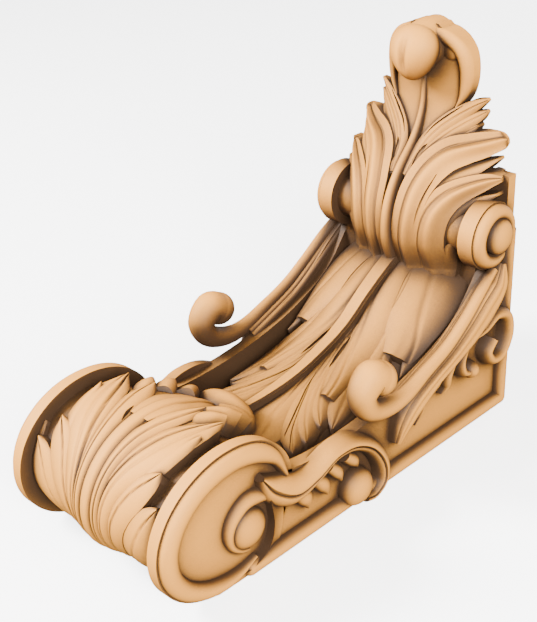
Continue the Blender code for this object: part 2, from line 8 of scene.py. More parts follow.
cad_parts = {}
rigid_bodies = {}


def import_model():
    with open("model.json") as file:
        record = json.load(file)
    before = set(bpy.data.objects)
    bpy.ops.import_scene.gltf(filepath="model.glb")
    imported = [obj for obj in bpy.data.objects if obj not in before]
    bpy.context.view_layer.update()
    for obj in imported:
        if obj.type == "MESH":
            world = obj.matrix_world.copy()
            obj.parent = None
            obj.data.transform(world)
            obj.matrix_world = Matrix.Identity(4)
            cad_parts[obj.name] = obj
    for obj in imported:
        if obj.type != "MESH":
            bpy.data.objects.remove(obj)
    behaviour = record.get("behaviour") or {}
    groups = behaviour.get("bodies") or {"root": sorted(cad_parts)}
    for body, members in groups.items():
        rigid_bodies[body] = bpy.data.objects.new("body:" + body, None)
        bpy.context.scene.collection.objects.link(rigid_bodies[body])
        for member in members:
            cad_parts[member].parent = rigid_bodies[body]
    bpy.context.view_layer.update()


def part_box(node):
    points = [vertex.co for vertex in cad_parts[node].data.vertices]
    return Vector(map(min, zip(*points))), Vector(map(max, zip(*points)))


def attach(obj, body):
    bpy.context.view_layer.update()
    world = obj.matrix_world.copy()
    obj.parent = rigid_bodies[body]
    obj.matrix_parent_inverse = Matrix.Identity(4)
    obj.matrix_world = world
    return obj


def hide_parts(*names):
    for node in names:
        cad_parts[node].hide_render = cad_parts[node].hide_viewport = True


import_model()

# Layout grid: x across, y out from the wall, z up from the base, in steps of one layout unit.
layoutReach = 6.551  # wall to the front of the large volute
lowCorner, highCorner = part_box("corbel")
unit = (highCorner.y - lowCorner.y) / layoutReach
baseHeight = lowCorner.z

bracket = {
    "channelHalf": 1.1556,   # inner faces of the side plates
    "panelHalf": 1.3333,     # sunk faces of the side plates
    "discHalf": 1.4556,      # outer faces of the large discs
    "rootDepth": 0.06,       # how far a carved piece runs into what carries it
    "trim": 0.09,            # how far the rough block runs past the flat faces
    "cutTop": 0.70,          # height above a surface from which the narrow cuts start
    "thinnest": 0.004,       # least half width and height of a strip
    "nudge": 0.01,           # share of a curve, each way from a point, that gives its direction there
    "sharpAngle": 34,        # degrees, past which an edge is drawn crisp
}


def place(x, y, z):
    return Vector((x * unit, -y * unit, baseHeight + z * unit))


# A smooth curve through the points, at share t of its length
def along(points, t):
    spans = len(points) - 1
    index = min(int(t * spans), spans - 1)
    f = t * spans - index
    before = points[max(index - 1, 0)]
    after = points[min(index + 2, spans)]
    return [
        0.5 * (2 * b + (c - a) * f + (2 * a - 5 * b + 4 * c - d) * f * f + (3 * b - a - 3 * c + d) * f ** 3)
        for a, b, c, d in zip(before, points[index], points[index + 1], after)
    ]


def varying(values, t):
    return along([(value,) for value in values], t)[0]


# Points of the curve just behind and just ahead of share t
def around(points, t):
    return along(points, max(t - bracket["nudge"], 0)), along(points, min(t + bracket["nudge"], 1))


# Heights given as shares of one size
def shares(size, *parts):
    return [size * part for part in parts]


# Cross-sections of a carved strip, from edge to edge as s runs from -1 to 1, at share t of its length
def halfRound(s, t):
    return sqrt(max(1 - s * s, 0))


def rounded(s, t, edge=0.40, rise=0.60):
    return edge + rise * halfRound(s, t)


def domed(s, t, edge=0.72, rise=0.28):
    return edge + rise * (1 - s * s)


def swelling(s, t):
    return domed(s, t, edge=0.46, rise=0.54)


def dished(s, t, middle=0.70, rise=0.30):
    return middle + rise * s * s


def flatTop(s, t, flat=0.80, edge=0.82):
    return 1.0 if abs(s) < flat else edge


def cove(s, t, low=0.12, rise=0.88):
    return low + rise * ((s + 1) / 2) ** 2


def finger(s, t, edge=0.52, rise=0.48, crest=0.16, width=0.42):
    return edge + rise * exp(-((s - crest) / width) ** 2)


# The same section with grooves: each is a place across at both ends, a depth and a width
def grooved(section, *marks):
    return lambda s, t: section(s, t) - sum(
        deep * exp(-((s - first - (last - first) * t) / wide) ** 2) for first, last, deep, wide in marks
    )


# Direction across a path, as a step of one layout unit on its surface; the roll is measured in degrees
def acrossPath(surface, ahead, behind):
    du = ahead[0] - behind[0]
    dv = ahead[1] - behind[1]
    turn = 180 / pi if surface is onRoll else 1
    length = hypot(du / turn, dv) or 1
    return -dv / length * turn, du / turn / length


# A flat grid with a copy raised above it; returns the raised points and all of them
def raisedGrid(bm, steps, strips, rim=0.999, same=1e-6):
    grid = bmesh.ops.create_grid(bm, x_segments=steps, y_segments=strips, size=1.0)["verts"]
    raised = bmesh.ops.extrude_face_region(bm, geom=bm.faces[:])["geom"]
    tops = {item for item in raised if isinstance(item, bmesh.types.BMVert)}

    def apart(edge, axis):
        return abs(edge.verts[0].co[axis] - edge.verts[1].co[axis])

    inner = [vert for vert in grid if abs(vert.co.y) < rim]
    # edges below that run lengthwise: no step across, and no link to the raised copy
    runs = {edge for vert in inner for edge in vert.link_edges if apart(edge, 1) < same}
    runs = [edge for edge in runs if not tops.intersection(edge.verts)]
    bmesh.ops.dissolve_edges(bm, edges=[edge for edge in runs if apart(edge, 0) > same], use_verts=False)
    spare = [vert for vert in inner if vert.is_valid and len(vert.link_edges) == 2]
    bmesh.ops.dissolve_verts(bm, verts=spare)
    return tops, bm.verts[:]


def faceOut(bm):
    bmesh.ops.recalc_face_normals(bm, faces=bm.faces)
    if bm.calc_volume(signed=True) < 0:
        bmesh.ops.reverse_faces(bm, faces=bm.faces)
    return bm


# A carved strip on a carrying surface, closed all round; floors lift its underside off the root
def strip(surface, path, widths, heights, section=domed, steps=60, strips=18, floors=None):
    bm = bmesh.new()
    tops, points = raisedGrid(bm, steps, strips)
    for vert in points:
        t = (vert.co.x + 1) / 2
        s = sin(vert.co.y * pi / 2)  # closer together at the edges
        u, v = along(path, t)
        behind, ahead = around(path, t)
        across = acrossPath(surface, ahead, behind)
        width = max(varying(widths, t), bracket["thinnest"])
        height = max(varying(heights, t), bracket["thinnest"])
        u, v = u + across[0] * width * s, v + across[1] * width * s
        top, root = surface(u, v, height * section(s, t))
        if floors:
            root = surface(u, v, varying(floors, t))[0]
        vert.co = top if vert in tops else root
    return faceOut(bm)


# A narrow cut along a path, down to the floor heights
def slot(surface, path, widths, floors, steps=40):
    return strip(surface, path, widths, [bracket["cutTop"]] * len(path), lambda s, t: 1.0, steps, 2, floors)


# One strip for each row of path, half widths, heights and section
def carve(surface, rows, steps, strips):
    return [strip(surface, *row, steps=steps, strips=strips) for row in rows]


# One narrow cut for each row of path, half widths and floors
def incise(surface, rows):
    return [slot(surface, *row) for row in rows]


# A round bar through points in metres
def bar(points, radii, sides=28, steps=90):
    bm = bmesh.new()
    face = bmesh.ops.create_circle(bm, cap_ends=True, segments=sides, radius=1)["verts"][0].link_faces[0]
    for step in range(steps + 1):
        t = step / steps
        if step:
            last = face
            made = bmesh.ops.extrude_face_region(bm, geom=[last])["geom"]
            face = next(item for item in made if isinstance(item, bmesh.types.BMFace))
            if step > 1:
                bmesh.ops.delete(bm, geom=[last], context="FACES_ONLY")
        behind, ahead = around(points, t)
        run = Vector(ahead) - Vector(behind)
        up = run.normalized().cross(Vector((1, 0, 0))).normalized()
        side = up.cross(run).normalized()
        centre = Vector(along(points, t))
        for number, vert in enumerate(face.verts):
            turn = 2 * pi * number / sides
            vert.co = centre + (side * cos(turn) + up * sin(turn)) * varying(radii, t) * unit
    return faceOut(bm)


def ball(centre, halves, meridians=48, rings=28):
    bm = bmesh.new()
    shape = Matrix.Translation(centre) @ Matrix.Diagonal((*[half * unit for half in halves], 1))
    bmesh.ops.create_uvsphere(bm, u_segments=meridians, v_segments=rings, radius=1, matrix=shape)
    return bm


# A ball half sunk in a surface
def boss(surface, at, rise, halves):
    return ball(surface(*at, rise)[0], halves)


# A rounded bud, wider above than below, with a soft crease down its front
def bud(centre, halves, flare=0.28, creaseDeep=0.16, creaseWide=0.16, creaseFoot=1.3):
    bm = bmesh.new()
    bmesh.ops.create_uvsphere(bm, u_segments=96, v_segments=56, radius=1)
    for vert in bm.verts:
        x, y, z = vert.co
        crease = creaseDeep * exp(-(x / creaseWide) ** 2) * max(-y, 0) * min(1, creaseFoot + z)
        vert.co = centre + Vector((
            x * halves[0] * (1 + flare * z), y * halves[1] * (1 - crease), z * halves[2]
        )) * unit
    return bm


# A drum across the width, between two distances from the middle
def drum(centre, radiusY, radiusZ, lean, inner, outer, sides=180):
    bm = bmesh.new()
    shape = (
        Matrix.Translation(place((inner + outer) / 2, *centre))
        @ Matrix.Rotation(lean, 4, "X")
        @ Matrix.Diagonal((unit, radiusY * unit, radiusZ * unit, 1))
        @ Matrix.Rotation(pi / 2, 4, "Y")
    )
    bmesh.ops.create_cone(
        bm, cap_ends=True, segments=sides, radius1=1, radius2=1, depth=outer - inner, matrix=shape
    )
    return bm


def block(lowX, highX, lowY, highY, lowZ, highZ):
    bm = bmesh.new()
    low, high = place(lowX, highY, lowZ), place(highX, lowY, highZ)
    shape = Matrix.Translation((low + high) / 2) @ Matrix.Diagonal((*(high - low), 1))
    bmesh.ops.create_cube(bm, size=1, matrix=shape)
    return bm


# A block under a surface, down past the base
def under(surface, start, end, left, right, steps=120, strips=24):
    bm = bmesh.new()
    tops, points = raisedGrid(bm, steps, strips)
    for vert in points:
        u = start + (end - start) * (vert.co.x + 1) / 2
        v = left + (right - left) * (vert.co.y + 1) / 2
        top = surface(u, v, 0)[0]
        vert.co = top if vert in tops else Vector((top.x, top.y, baseHeight - bracket["trim"] * unit))
    return faceOut(bm)


def newObject(name, bm):
    mesh = bpy.data.meshes.new(name)
    bm.to_mesh(mesh)
    bm.free()
    return bpy.data.objects.new(name, mesh)


def mirrored(bm):
    copy = bm.copy()
    bmesh.ops.scale(copy, vec=(-1, 1, 1), verts=copy.verts)
    bmesh.ops.reverse_faces(copy, faces=copy.faces)
    return copy


def gather(name, shapes):
    group = bpy.data.collections.new(name)
    for shape in shapes:
        group.objects.link(newObject(name, shape))
    return group


# Joins closed shapes into one skin, cuts it flat at the wall and the base, and puts it on the frame
def finishPiece(name, middle, sides, cutters=()):
    shapes = middle + sides + [mirrored(bm) for bm in sides]
    cuts = list(cutters) + [mirrored(bm) for bm in cutters]
    piece = newObject(name, shapes[0])
    bpy.context.scene.collection.objects.link(piece)
    others = gather("joined", shapes[1:])
    removed = gather("removed", cuts)
    reach = layoutReach * 1.2  # past every shape
    envelope = gather("envelope", [block(-reach, reach, 0, 2 * reach, 0, 2 * reach)])
    for operation, group in (("UNION", others), ("DIFFERENCE", removed), ("INTERSECT", envelope)):
        if group.objects:
            step = piece.modifiers.new(operation.title(), "BOOLEAN")
            step.operation = operation
            step.solver = "MANIFOLD"
            step.operand_type = "COLLECTION"
            step.collection = group
    graph = bpy.context.evaluated_depsgraph_get()
    mesh = bpy.data.meshes.new_from_object(piece.evaluated_get(graph))
    piece.modifiers.clear()
    piece.data = mesh
    mesh.name = name
    for group in (others, removed, envelope):
        for helper in list(group.objects):
            bpy.data.objects.remove(helper)
        bpy.data.collections.remove(group)
    mesh.materials.clear()
    mesh.materials.append(carvedWood)
    mesh.polygons.foreach_set("material_index", [0] * len(mesh.polygons))
    mesh.shade_smooth()
    mesh.set_sharp_from_angle(angle=radians(bracket["sharpAngle"]))
    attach(piece, "root")
    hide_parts("corbel")
    triangles = sum(len(face.vertices) - 2 for face in mesh.polygons)
    print(name, triangles, "triangles")


# Surfaces that carry the carving: each gives the point at height h and the point it is rooted at
sweep = {
    "ribTop": [  # y and z of the middle line, at even steps out from the wall
        (0.0, 2.50), (0.5, 2.42), (1.0, 2.25), (1.5, 1.96), (2.0, 1.61), (2.5, 1.408),
        (3.0, 1.288), (3.5, 1.254), (4.0, 1.285), (4.5, 1.40), (5.0, 1.45),
    ],
    "plateTop": [  # top edge of the side plates
        (0.0, 2.70), (0.3, 2.55), (0.55, 2.22), (0.90, 1.80), (1.25, 1.55), (1.77, 1.33), (2.31, 1.18),
        (2.91, 1.08), (3.46, 1.04), (3.97, 1.04), (4.40, 1.10), (4.80, 1.20),
    ],
    "ribLift": 0.244,  # ground to the top of the rib
    "hump": 0.378,     # fall of the ground from the middle to the sides
    "humpHalf": 1.15,  # half width over which it falls
    "length": 5.0,
}

largeVolute = {
    "centre": (5.476, 0.9345),
    "drawnCentre": 0.954,   # height of the centre in the side drawing
    "long": 1.0778,
    "short": 0.9289,
    "lean": radians(10.6),
    "coreShare": 0.80,      # radius of the roll, as a share of the disc's
    "rollHalf": 1.18,
}

smallVolute = {
    "centre": (0.471, 2.76),
    "radius": 0.471,
    "coreRadius": 0.335,
    "discInner": 1.105,
}

wallLeaf = {
    "foot": 2.2,
    "step": 0.4,
    "spine": [0.86, 0.98, 0.95, 0.76, 0.45, 0.28, 0.25, 0.25, 0.25],  # reach of the rib, a step apart
    "half": 1.30,
    "fall": 0.556,     # how far the leaf falls back at its widest
    "edge": 0.036,     # least reach from the wall
    "wrapsTo": 3.2,    # below this the leaf is rooted in the block and the small roll behind it
    "inBlock": 0.33,
    "plateTop": 3.5,   # below this it is rooted in the back plate
    "inPlate": 0.08,
}


def onSide(y, z, h):
    top = place(bracket["panelHalf"] + h, y, z)
    return top, place(bracket["panelHalf"] - bracket["rootDepth"], y, z)


def onSweep(y, x, h):
    t = y / sweep["length"]
    near, far = (place(0, *point) for point in around(sweep["ribTop"], t))
    run = (far - near).normalized()
    outward = Vector((0, run.z, -run.y))
    middle = place(x, *along(sweep["ribTop"], t))
    ground = -sweep["ribLift"] - sweep["hump"] * (x / sweep["humpHalf"]) ** 2
    return middle + outward * (ground + h) * unit, middle + outward * (ground - bracket["rootDepth"]) * unit


def largeRadiusAt(angle):
    direction = angle + largeVolute["lean"]
    return 1 / hypot(cos(direction) / largeVolute["long"], sin(direction) / largeVolute["short"])


def onRoll(degrees, x, h):
    angle = radians(degrees)
    outward = Vector((0, -cos(angle), sin(angle)))
    centre = place(x, *largeVolute["centre"])
    core = largeRadiusAt(angle) * largeVolute["coreShare"]
    return centre + outward * (core + h) * unit, centre + outward * (core - bracket["rootDepth"]) * unit


def onWall(z, x, h):
    spans = wallLeaf["step"] * (len(wallLeaf["spine"]) - 1)
    t = (z - wallLeaf["foot"]) / spans
    near, far = around([(out,) for out in wallLeaf["spine"]], t)
    run = Vector((0, -(far[0] - near[0]) / (2 * bracket["nudge"]), spans)).normalized()
    outward = Vector((0, -run.z, run.y))
    front = varying(wallLeaf["spine"], min(max(t, 0), 1)) - wallLeaf["fall"] * (x / wallLeaf["half"]) ** 2
    top = place(x, front, z) + outward * h * unit
    top.y = min(top.y, -wallLeaf["edge"] * unit)
    back = wallLeaf["inBlock"]
    if z > wallLeaf["wrapsTo"]:
        back = wallLeaf["inPlate"] if z < wallLeaf["plateTop"] else -bracket["trim"]
    return top, Vector((top.x, -back * unit, top.z))


def onLarge(y, z, h):
    return onSide(y, z - largeVolute["drawnCentre"] + largeVolute["centre"][1], h)


def onPlateTop(t, x, h):
    top = place(x, *along(sweep["plateTop"], t))
    return top, top


# Points round the large volute, a step inside its edge, from one angle to another
def roundLarge(start, end, inset, count=14):
    points = []
    for number in range(count + 1):
        angle = radians(start + (end - start) * number / count)
        radius = largeRadiusAt(angle) - inset
        points.append((
            largeVolute["centre"][0] + radius * cos(angle),
            largeVolute["drawnCentre"] + radius * sin(angle),
        ))
    return points


def roundSmall(start, end, radius, count=10):
    centreY, centreZ = smallVolute["centre"]
    turns = [radians(start + (end - start) * number / count) for number in range(count + 1)]
    return [(centreY + radius * cos(turn), centreZ + radius * sin(turn)) for turn in turns]


# Wood grain: a soft figure, fine fibres along the depth of the bracket, and a speckle
def woodGrainGroup():
    textures = (  # stretch along x, y and z, the scale it takes, and its detail
        ("Figure", (1.0, 0.10, 1.0), "Coarse", 3),
        ("Fibre", (1.0, 0.035, 1.0), "Fine", 2),
        ("Speckle", (1.0, 0.6, 1.0), "Fine", 1),
    )
    group = bpy.data.node_groups.new("woodGrain", "ShaderNodeTree")
    for name in ("Coarse", "Fine"):
        group.interface.new_socket(name=name, in_out="INPUT", socket_type="NodeSocketFloat")
    for name, *_ in textures:
        group.interface.new_socket(name=name, in_out="OUTPUT", socket_type="NodeSocketFloat")
    nodes, links = group.nodes, group.links
    inputs = nodes.new("NodeGroupInput")
    outputs = nodes.new("NodeGroupOutput")
    coords = nodes.new("ShaderNodeTexCoord")
    for name, stretch, socket, detail in textures:
        mapping = nodes.new("ShaderNodeMapping")
        mapping.inputs["Scale"].default_value = stretch
        noise = nodes.new("ShaderNodeTexNoise")
        noise.inputs["Detail"].default_value = detail
        links.new(coords.outputs["Object"], mapping.inputs["Vector"])
        links.new(mapping.outputs["Vector"], noise.inputs["Vector"])
        links.new(inputs.outputs[socket], noise.inputs["Scale"])
        links.new(noise.outputs["Fac"], outputs.inputs[name])
    return group


# A Math node; values holds its fixed inputs by their number
def mathNode(nodes, operation, values=()):
    node = nodes.new("ShaderNodeMath")
    node.operation = operation
    for number, value in values:
        node.inputs[number].default_value = value
    return node


def colourMix(nodes, first, second=None):
    node = nodes.new("ShaderNodeMix")
    node.data_type = "RGBA"
    node.inputs["A"].default_value = first
    if second:
        node.inputs["B"].default_value = second
    return node


# The one material: pale wood, with painted shade that darkens its colour in recesses, creases and between
# parts
def makeCarvedWood():
    look = {
        "light": (0.76, 0.315, 0.042, 1),
        "dark": (0.64, 0.255, 0.032, 1),
        # near-black colour of the painted shade in recesses
        "paintedShadeColour": (0.034, 0.016, 0.006, 1),
        "paintedShadeReaches": (  # reach, darkest, clear, least share
            (0.014, 0.40, 0.94, 0.0),
            (0.110, 0.42, 1.0, 0.01),
        ),
        "paintedShadePower": 2.2,
        "paintedShadeSamples": 8,
        "coarse": 55,
        "fine": 1500,
        "figureShare": 0.45,
        "fibreShare": 0.60,
        "roughness": (0.54, 0.74),
        "sheen": 0.25,
        "bump": 0.5,
        "fibreHeight": 0.00018,
    }
    material = bpy.data.materials.new("carvedWood")
    material.use_nodes = True
    nodes, links = material.node_tree.nodes, material.node_tree.links
    shader = nodes["Principled BSDF"]
    shader.inputs["Specular IOR Level"].default_value = look["sheen"]

    grain = nodes.new("ShaderNodeGroup")
    grain.node_tree = woodGrainGroup()
    grain.inputs["Coarse"].default_value = look["coarse"]
    grain.inputs["Fine"].default_value = look["fine"]

    tone = colourMix(nodes, look["dark"], look["light"])
    fibres = mathNode(nodes, "MULTIPLY", [(1, look["fibreShare"])])
    blend = mathNode(nodes, "MULTIPLY_ADD", [(1, look["figureShare"])])
    links.new(grain.outputs["Fibre"], fibres.inputs[0])
    links.new(grain.outputs["Figure"], blend.inputs[0])
    links.new(fibres.outputs[0], blend.inputs[2])
    links.new(blend.outputs[0], tone.inputs["Factor"])

    # Painted shade: ambient occlusion at two reaches blends the wood colour towards the near-black shade
    # colour wherever shade falls in hollows and between parts
    openness = mathNode(nodes, "MULTIPLY")
    for number, (reach, darkest, clear, least) in enumerate(look["paintedShadeReaches"]):
        hollow = nodes.new("ShaderNodeAmbientOcclusion")
        hollow.inputs["Distance"].default_value = reach
        hollow.samples = look["paintedShadeSamples"]
        ramp = nodes.new("ShaderNodeMapRange")
        ramp.inputs["From Min"].default_value = darkest
        ramp.inputs["From Max"].default_value = clear
        ramp.inputs["To Min"].default_value = least
        links.new(hollow.outputs["AO"], ramp.inputs["Value"])
        links.new(ramp.outputs["Result"], openness.inputs[number])
    deepened = mathNode(nodes, "POWER", [(1, look["paintedShadePower"])])
    shade = colourMix(nodes, look["paintedShadeColour"])
    links.new(openness.outputs[0], deepened.inputs[0])
    links.new(deepened.outputs[0], shade.inputs["Factor"])
    links.new(tone.outputs["Result"], shade.inputs["B"])
    links.new(shade.outputs["Result"], shader.inputs["Base Color"])

    rough = nodes.new("ShaderNodeMapRange")
    rough.inputs["To Min"].default_value, rough.inputs["To Max"].default_value = look["roughness"]
    links.new(grain.outputs["Speckle"], rough.inputs["Value"])
    links.new(rough.outputs["Result"], shader.inputs["Roughness"])

    bump = nodes.new("ShaderNodeBump")
    bump.inputs["Strength"].default_value = look["bump"]
    bump.inputs["Distance"].default_value = look["fibreHeight"]
    links.new(grain.outputs["Fibre"], bump.inputs["Height"])
    links.new(bump.outputs["Normal"], shader.inputs["Normal"])
    return material


carvedWood = makeCarvedWood()
print("material ready")


# Block of the bracket: sweep ground, side plates, back plate, roll cores and the bead
def makeBody():
    size = {
        "plateHeight": 3.511,
        "plateHalf": 1.3444,
        "plateThick": 0.167,
        "footDepth": 0.56,      # block behind the foot of the wall leaf
        "bead": 0.1156,
        "beadOut": 0.005,       # middle of the bead, past the sunk faces
        "beadShort": 0.29,      # its end, short of the large volute's centre
        "beadMiddle": 1.4,      # height of a point on its upright
        "overlap": 0.09,
        "groundLap": 0.05,      # how far the ground runs into the side plates
    }
    lap = size["overlap"]
    groundHalf = bracket["channelHalf"] + size["groundLap"]
    coreY = largeVolute["long"] * largeVolute["coreShare"]
    coreZ = largeVolute["short"] * largeVolute["coreShare"]
    smallHeight = smallVolute["centre"][1]
    middle = [
        under(onSweep, 0.0, sweep["length"], -groundHalf, groundHalf, strips=40),
        block(-size["plateHalf"], size["plateHalf"], -lap, size["plateThick"], -lap, size["plateHeight"]),
        block(-bracket["channelHalf"], bracket["channelHalf"], -lap, size["footDepth"], -lap, smallHeight),
        drum(largeVolute["centre"], coreY, coreZ, largeVolute["lean"],
             -largeVolute["rollHalf"] - lap, largeVolute["rollHalf"] + lap),
        drum(smallVolute["centre"], smallVolute["coreRadius"], smallVolute["coreRadius"], 0,
             -smallVolute["discInner"] - lap, smallVolute["discInner"] + lap),
    ]
    bead = size["bead"]
    beadX = bracket["panelHalf"] + size["beadOut"]
    reach = largeVolute["centre"][0] - size["beadShort"]
    sides = [
        under(onPlateTop, 0.0, 1.0, bracket["channelHalf"], bracket["panelHalf"], strips=2),
        bar([place(beadX, y, bead) for y in (bead, reach / 2, reach)], [bead] * 3, steps=8),
        ball(place(beadX, reach, bead), (bead, bead, bead)),
        bar([place(beadX, bead, z) for z in (bead, size["beadMiddle"], smallHeight)], [bead] * 3, steps=8),
        ball(place(beadX, bead, bead), (bead, bead, bead)),
    ]
    finishPiece("bracketBlock", middle, sides)


# Discs of both rolls with their rings, spirals and eyes
def makeVolutes():
    ring = bracket["discHalf"] - bracket["panelHalf"]
    size = {
        "ringInset": 0.152,     # middle of the large ring, inside the disc's edge
        "smallRing": 0.343,     # radius of the small ring
        "smallTail": (0.28, 2.36),
        "foldPath": [
            (4.78, 1.02), (4.72, 0.62), (4.82, 0.28), (5.12, 0.10),
            (5.45, 0.07), (5.78, 0.14), (6.02, 0.30), (6.14, 0.48),
        ],
        "spiralPath": [
            (4.80, 0.98), (4.98, 1.07), (5.22, 1.09), (5.42, 0.97),
            (5.50, 0.80), (5.46, 0.60), (5.33, 0.46), (5.19, 0.40),
        ],
        "largeEye": (5.183, 0.703),
        "largeEyeHalves": (ring * 1.1, 0.271, 0.271),
        "smallEye": (0.40, 2.75),
        "smallEyeRise": 0.045,
        "smallEyeHalves": (ring * 1.3, 0.249, 0.262),
    }
    sides = [
        drum(largeVolute["centre"], largeVolute["long"], largeVolute["short"], largeVolute["lean"],
             largeVolute["rollHalf"], bracket["panelHalf"]),
        strip(onLarge, roundLarge(-118, 168, size["ringInset"]),
              [0.04, 0.09, 0.12, 0.128, 0.128, 0.128, 0.128, 0.12, 0.05],
              shares(ring, 0.6, 1, 1, 1, 1, 1, 1, 1, 0.7), halfRound, steps=180, strips=22),
        strip(onLarge, size["foldPath"], [0.12, 0.13, 0.13, 0.10, 0.09, 0.08, 0.07, 0.02],
              shares(ring, 1, 1, 1, 0.9, 0.7, 0.5) + [bracket["thinnest"]] * 2, cove, steps=120, strips=20),
        strip(onLarge, size["spiralPath"], [0.08, 0.11, 0.115, 0.10, 0.085, 0.06, 0.045, 0.03],
              shares(ring, 0.8, 0.8, 0.8, 0.8, 0.7, 0.5, 0.4, 0.3), halfRound, steps=120, strips=20),
        boss(onLarge, size["largeEye"], 0.0, size["largeEyeHalves"]),
        drum(smallVolute["centre"], smallVolute["radius"], smallVolute["radius"], 0,
             smallVolute["discInner"], bracket["panelHalf"], sides=120),
        strip(onSide, roundSmall(190, -120, size["smallRing"]) + [size["smallTail"]],
              [0.09, 0.105, 0.11, 0.11, 0.11, 0.11, 0.10, 0.03],
              shares(ring, 1, 1, 1, 1, 1, 1, 1, 0.5), halfRound, steps=120, strips=20),
        boss(onSide, size["smallEye"], size["smallEyeRise"], size["smallEyeHalves"]),
    ]
    finishPiece("voluteDiscs", [], sides)


# Long scrolls above the side plates, each curling into a knob, and the carving on the side plates
def makeSideScrolls():
    size = {
        "high": 0.211,  # how far the garland stands out
        "low": 0.189,   # how far the low scroll stands out
        "route": [      # x, y and z of the long scroll
            (1.40, 0.50, 2.30), (1.42, 0.80, 2.09), (1.44, 1.15, 1.83), (1.45, 1.55, 1.58),
            (1.45, 2.00, 1.40), (1.45, 2.45, 1.24), (1.44, 2.82, 1.24), (1.44, 3.15, 1.38),
            (1.44, 3.26, 1.62), (1.44, 3.10, 1.79), (1.44, 2.94, 1.72),
        ],
        "radii": [0.070, 0.080, 0.080, 0.082, 0.088, 0.108, 0.136, 0.162, 0.190, 0.218, 0.222],
        "knobHalves": (0.226, 0.231, 0.231),
        "ledges": ((1.345, 0.055, 0.045), (1.285, 0.100, 0.050)),  # x, fall and radius of the bars below it
        "ledgePoints": 6,
        "berry": (0.98, 0.98),
        "berryRise": 0.067,
        "berryHalves": (0.167, 0.129, 0.129),
        "lowBall": (3.34, 0.30),
        "lowBallRise": 0.045,
        "lowBallHalves": (0.211, 0.270, 0.270),
        "teeth": (      # root, tip and half width
            ((4.40, 0.80), (4.20, 0.44), 0.11),
            ((4.10, 0.82), (3.86, 0.46), 0.10),
            ((3.86, 0.88), (3.60, 0.52), 0.09),
            ((3.56, 0.88), (3.30, 0.56), 0.09),
        ),
        "toothBend": 0.04,
    }
    high, low, route = size["high"], size["low"], size["route"]
    sides = [
        bar([place(*point) for point in route], size["radii"], steps=140),
        ball(place(*route[-1]), size["knobHalves"]),
    ]
    for x, fall, radius in size["ledges"]:
        points = [place(x, y, z - fall) for _, y, z in route[:size["ledgePoints"]]]
        sides.append(bar(points, [radius] * len(points), sides=16))
    sides += [
        # garland from the small volute down the side
        strip(onSide,
              [(0.36, 2.36), (0.46, 2.08), (0.72, 1.82), (1.04, 1.60), (1.44, 1.40), (1.84, 1.24),
               (2.22, 1.04), (2.42, 0.82), (2.55, 0.56)],
              [0.06, 0.20, 0.25, 0.22, 0.17, 0.16, 0.20, 0.17, 0.07],
              shares(high, 0.8, 1.15, 1.15, 1.15, 1.15, 1.15, 1.15, 1, 0.7),
              grooved(rounded, (-0.62, -0.62, 0.16, 0.09), (0.62, 0.62, 0.16, 0.09), (0.0, 0.0, 0.08, 0.20)),
              steps=150, strips=36),
        # small scroll in the corner by the wall
        strip(onSide,
              [(1.00, 1.50), (0.74, 1.52), (0.46, 1.62), (0.19, 1.50), (0.128, 1.22), (0.26, 0.96),
               (0.48, 0.93), (0.62, 1.10), (0.50, 1.26)],
              [0.06, 0.09, 0.10, 0.11, 0.115, 0.11, 0.10, 0.10, 0.10], [high] * 9, halfRound, steps=120),
    ]
    # flames that hang from the garland
    sides += carve(onSide, (
        ([(1.10, 1.48), (1.22, 1.22), (1.16, 1.02), (0.98, 0.96)], [0.08, 0.09, 0.08, 0.07],
         [high * 0.9] * 4, halfRound),
        ([(1.40, 1.36), (1.52, 1.15), (1.50, 0.95), (1.58, 0.84)], [0.08, 0.10, 0.07, 0.02],
         shares(high, 0.9, 0.9, 0.7, 0.4), rounded),
        ([(1.62, 1.26), (1.72, 1.08), (1.76, 0.94)], [0.06, 0.06, 0.02],
         shares(high, 0.8, 0.7, 0.4), rounded),
        ([(2.05, 1.10), (2.02, 0.82), (2.12, 0.60)], [0.08, 0.06, 0.01],
         shares(high, 0.8, 0.6, 0.3), rounded),
    ), steps=60, strips=18)
    sides += [
        boss(onSide, size["berry"], size["berryRise"], size["berryHalves"]),
        # low scroll from the large disc down to its ball
        strip(onSide,
              [(5.00, 1.30), (4.80, 1.06), (4.48, 0.86), (4.12, 0.90), (3.78, 1.02), (3.42, 0.99),
               (3.08, 0.78), (2.86, 0.46), (2.84, 0.18), (3.02, 0.04), (3.2, 0.06)],
              [0.05, 0.19, 0.21, 0.15, 0.12, 0.12, 0.12, 0.13, 0.12, 0.10, 0.08],
              shares(low, 0.7, 0.9, 1, 1, 1, 1, 1, 1, 1, 1, 1),
              grooved(halfRound, (0.15, 0.15, 0.20, 0.10)), steps=160, strips=36),
        boss(onSide, size["lowBall"], size["lowBallRise"], size["lowBallHalves"]),
    ]
    for root, tip, width in size["teeth"]:
        bend = ((root[0] + tip[0]) / 2 - size["toothBend"], (root[1] + tip[1]) / 2)
        sides.append(strip(onSide, [root, bend, tip], [width, width, 0.02], shares(low, 0.8, 0.75, 0.4),
                           rounded, steps=40))
    finishPiece("sideScrolls", [], sides)


